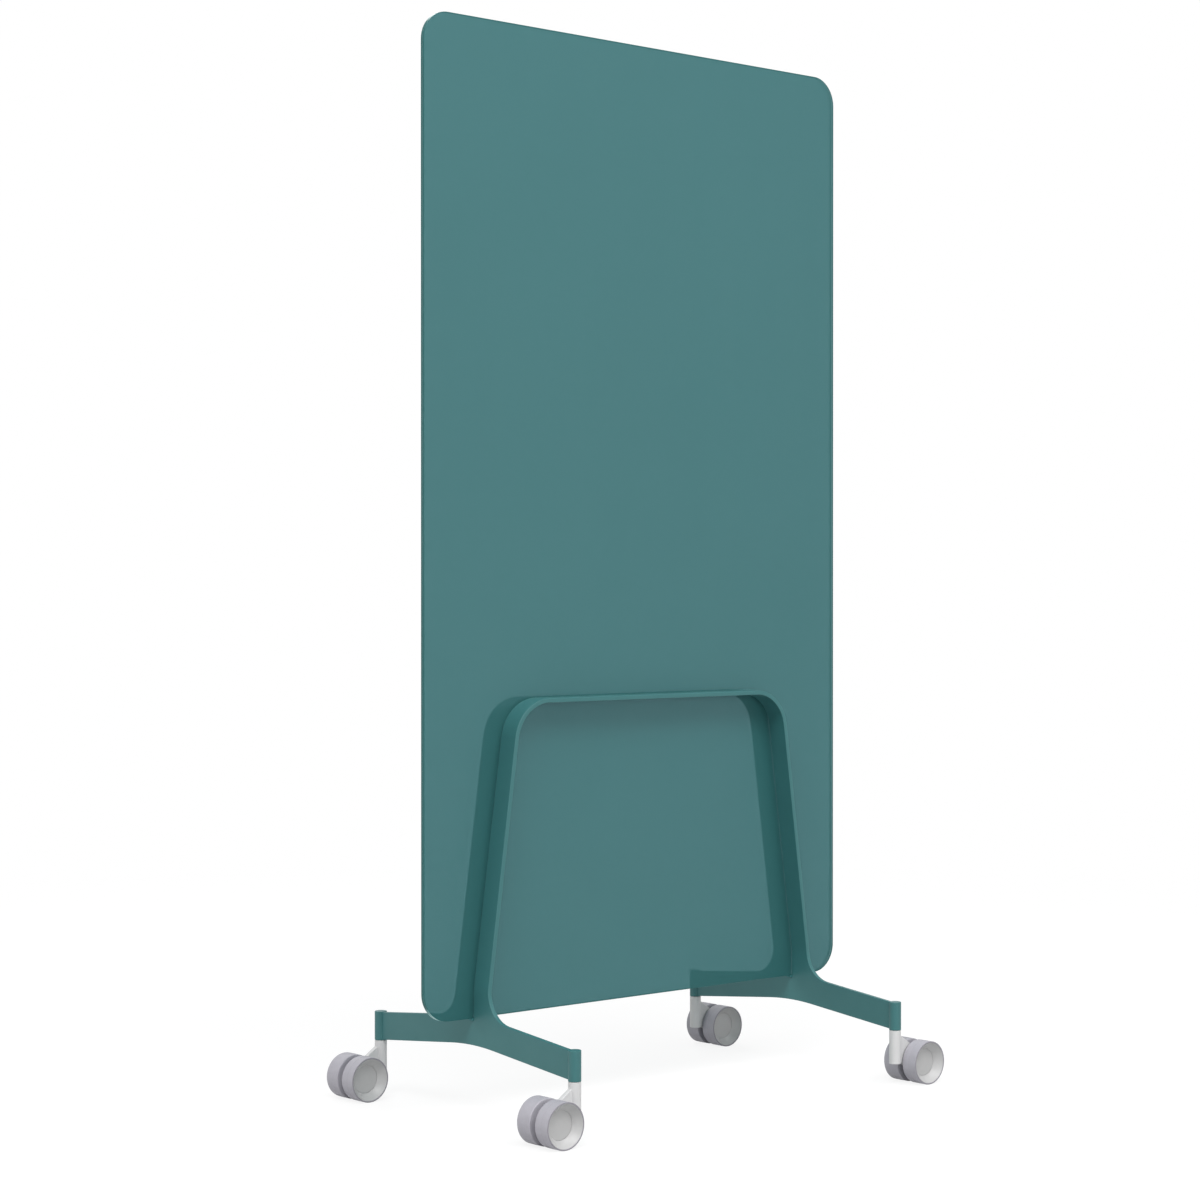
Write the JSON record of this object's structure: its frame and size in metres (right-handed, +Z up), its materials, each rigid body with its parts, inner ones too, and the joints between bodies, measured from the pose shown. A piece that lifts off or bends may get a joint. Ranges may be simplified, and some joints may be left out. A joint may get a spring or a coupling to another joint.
{
  "type": "mobile glass whiteboard",
  "caption": "Free-standing glass writing board held between bent flat-bar hoops on arched feet with swivelling twin-wheel castors.",
  "frame": {"origin": "on the floor below the middle of the glass board", "axes": "+X along the width of the glass, +Y from the front of the glass to the rear, +Z up"},
  "size_m": [1, 0.6184, 1.9072],
  "materials": {
    "tinted_glass": "tinted glass pane, polished edge",
    "coloured_film": "teal laminating interlayer",
    "frame_paint": "teal powder coat, satin",
    "bonding_foam": "dark acrylic bonding strip",
    "block_rubber": "black rubber pad",
    "bush_plastic": "moulded nylon",
    "bright_steel": "turned steel",
    "castor_plastic": "white moulded nylon, satin",
    "tyre_rubber": "grey soft tread",
    "disc_plastic": "grey moulded plastic"
  },
  "bodies": {
    "frame": {"front_glass_pane": "tinted_glass", "rear_glass_pane": "tinted_glass", "colour_interlayer": "coloured_film", "front_hoop": "frame_paint", "rear_hoop": "frame_paint", "left_foot_plate": "frame_paint", "right_foot_plate": "frame_paint", "front_bonding_strip": "bonding_foam", "rear_bonding_strip": "bonding_foam", "left_setting_block": "block_rubber", "right_setting_block": "block_rubber", "front_left_socket": "frame_paint", "front_left_bush": "bush_plastic", "front_right_socket": "frame_paint", "front_right_bush": "bush_plastic", "rear_left_socket": "frame_paint", "rear_left_bush": "bush_plastic", "rear_right_socket": "frame_paint", "rear_right_bush": "bush_plastic"},
    "front_left_castor": {"front_left_stem": "bright_steel", "front_left_yoke": "castor_plastic", "front_left_axle": "bright_steel"},
    "front_left_outer_wheel": {"front_left_outer_wheel_core": "castor_plastic", "front_left_outer_tyre": "tyre_rubber", "front_left_outer_hub_disc": "disc_plastic"},
    "front_left_inner_wheel": {"front_left_inner_wheel_core": "castor_plastic", "front_left_inner_tyre": "tyre_rubber", "front_left_inner_hub_disc": "disc_plastic"},
    "front_right_castor": {"front_right_stem": "bright_steel", "front_right_yoke": "castor_plastic", "front_right_axle": "bright_steel"},
    "front_right_outer_wheel": {"front_right_outer_wheel_core": "castor_plastic", "front_right_outer_tyre": "tyre_rubber", "front_right_outer_hub_disc": "disc_plastic"},
    "front_right_inner_wheel": {"front_right_inner_wheel_core": "castor_plastic", "front_right_inner_tyre": "tyre_rubber", "front_right_inner_hub_disc": "disc_plastic"},
    "rear_left_castor": {"rear_left_stem": "bright_steel", "rear_left_yoke": "castor_plastic", "rear_left_axle": "bright_steel"},
    "rear_left_outer_wheel": {"rear_left_outer_wheel_core": "castor_plastic", "rear_left_outer_tyre": "tyre_rubber", "rear_left_outer_hub_disc": "disc_plastic"},
    "rear_left_inner_wheel": {"rear_left_inner_wheel_core": "castor_plastic", "rear_left_inner_tyre": "tyre_rubber", "rear_left_inner_hub_disc": "disc_plastic"},
    "rear_right_castor": {"rear_right_stem": "bright_steel", "rear_right_yoke": "castor_plastic", "rear_right_axle": "bright_steel"},
    "rear_right_outer_wheel": {"rear_right_outer_wheel_core": "castor_plastic", "rear_right_outer_tyre": "tyre_rubber", "rear_right_outer_hub_disc": "disc_plastic"},
    "rear_right_inner_wheel": {"rear_right_inner_wheel_core": "castor_plastic", "rear_right_inner_tyre": "tyre_rubber", "rear_right_inner_hub_disc": "disc_plastic"}
  },
  "joints": [
    {"name": "front_left_swivel", "type": "hinge", "parent": "frame", "child": "front_left_castor", "pos_m": [-0.3895, -0.27, 0.04], "axis": [0, 0, 1], "continuous": true},
    {"name": "front_left_outer_spin", "type": "hinge", "parent": "front_left_castor", "child": "front_left_outer_wheel", "pos_m": [-0.4415, -0.27, 0.04], "axis": [0, 1, 0], "continuous": true},
    {"name": "front_left_inner_spin", "type": "hinge", "parent": "front_left_castor", "child": "front_left_inner_wheel", "pos_m": [-0.4415, -0.27, 0.04], "axis": [0, 1, 0], "continuous": true},
    {"name": "front_right_swivel", "type": "hinge", "parent": "frame", "child": "front_right_castor", "pos_m": [0.3895, -0.27, 0.04], "axis": [0, 0, 1], "continuous": true},
    {"name": "front_right_outer_spin", "type": "hinge", "parent": "front_right_castor", "child": "front_right_outer_wheel", "pos_m": [0.4415, -0.27, 0.04], "axis": [0, 1, 0], "continuous": true},
    {"name": "front_right_inner_spin", "type": "hinge", "parent": "front_right_castor", "child": "front_right_inner_wheel", "pos_m": [0.4415, -0.27, 0.04], "axis": [0, 1, 0], "continuous": true},
    {"name": "rear_left_swivel", "type": "hinge", "parent": "frame", "child": "rear_left_castor", "pos_m": [-0.3895, 0.27, 0.04], "axis": [0, 0, 1], "continuous": true},
    {"name": "rear_left_outer_spin", "type": "hinge", "parent": "rear_left_castor", "child": "rear_left_outer_wheel", "pos_m": [-0.4415, 0.27, 0.04], "axis": [0, 1, 0], "continuous": true},
    {"name": "rear_left_inner_spin", "type": "hinge", "parent": "rear_left_castor", "child": "rear_left_inner_wheel", "pos_m": [-0.4415, 0.27, 0.04], "axis": [0, 1, 0], "continuous": true},
    {"name": "rear_right_swivel", "type": "hinge", "parent": "frame", "child": "rear_right_castor", "pos_m": [0.3895, 0.27, 0.04], "axis": [0, 0, 1], "continuous": true},
    {"name": "rear_right_outer_spin", "type": "hinge", "parent": "rear_right_castor", "child": "rear_right_outer_wheel", "pos_m": [0.4415, 0.27, 0.04], "axis": [0, 1, 0], "continuous": true},
    {"name": "rear_right_inner_spin", "type": "hinge", "parent": "rear_right_castor", "child": "rear_right_inner_wheel", "pos_m": [0.4415, 0.27, 0.04], "axis": [0, 1, 0], "continuous": true}
  ]
}
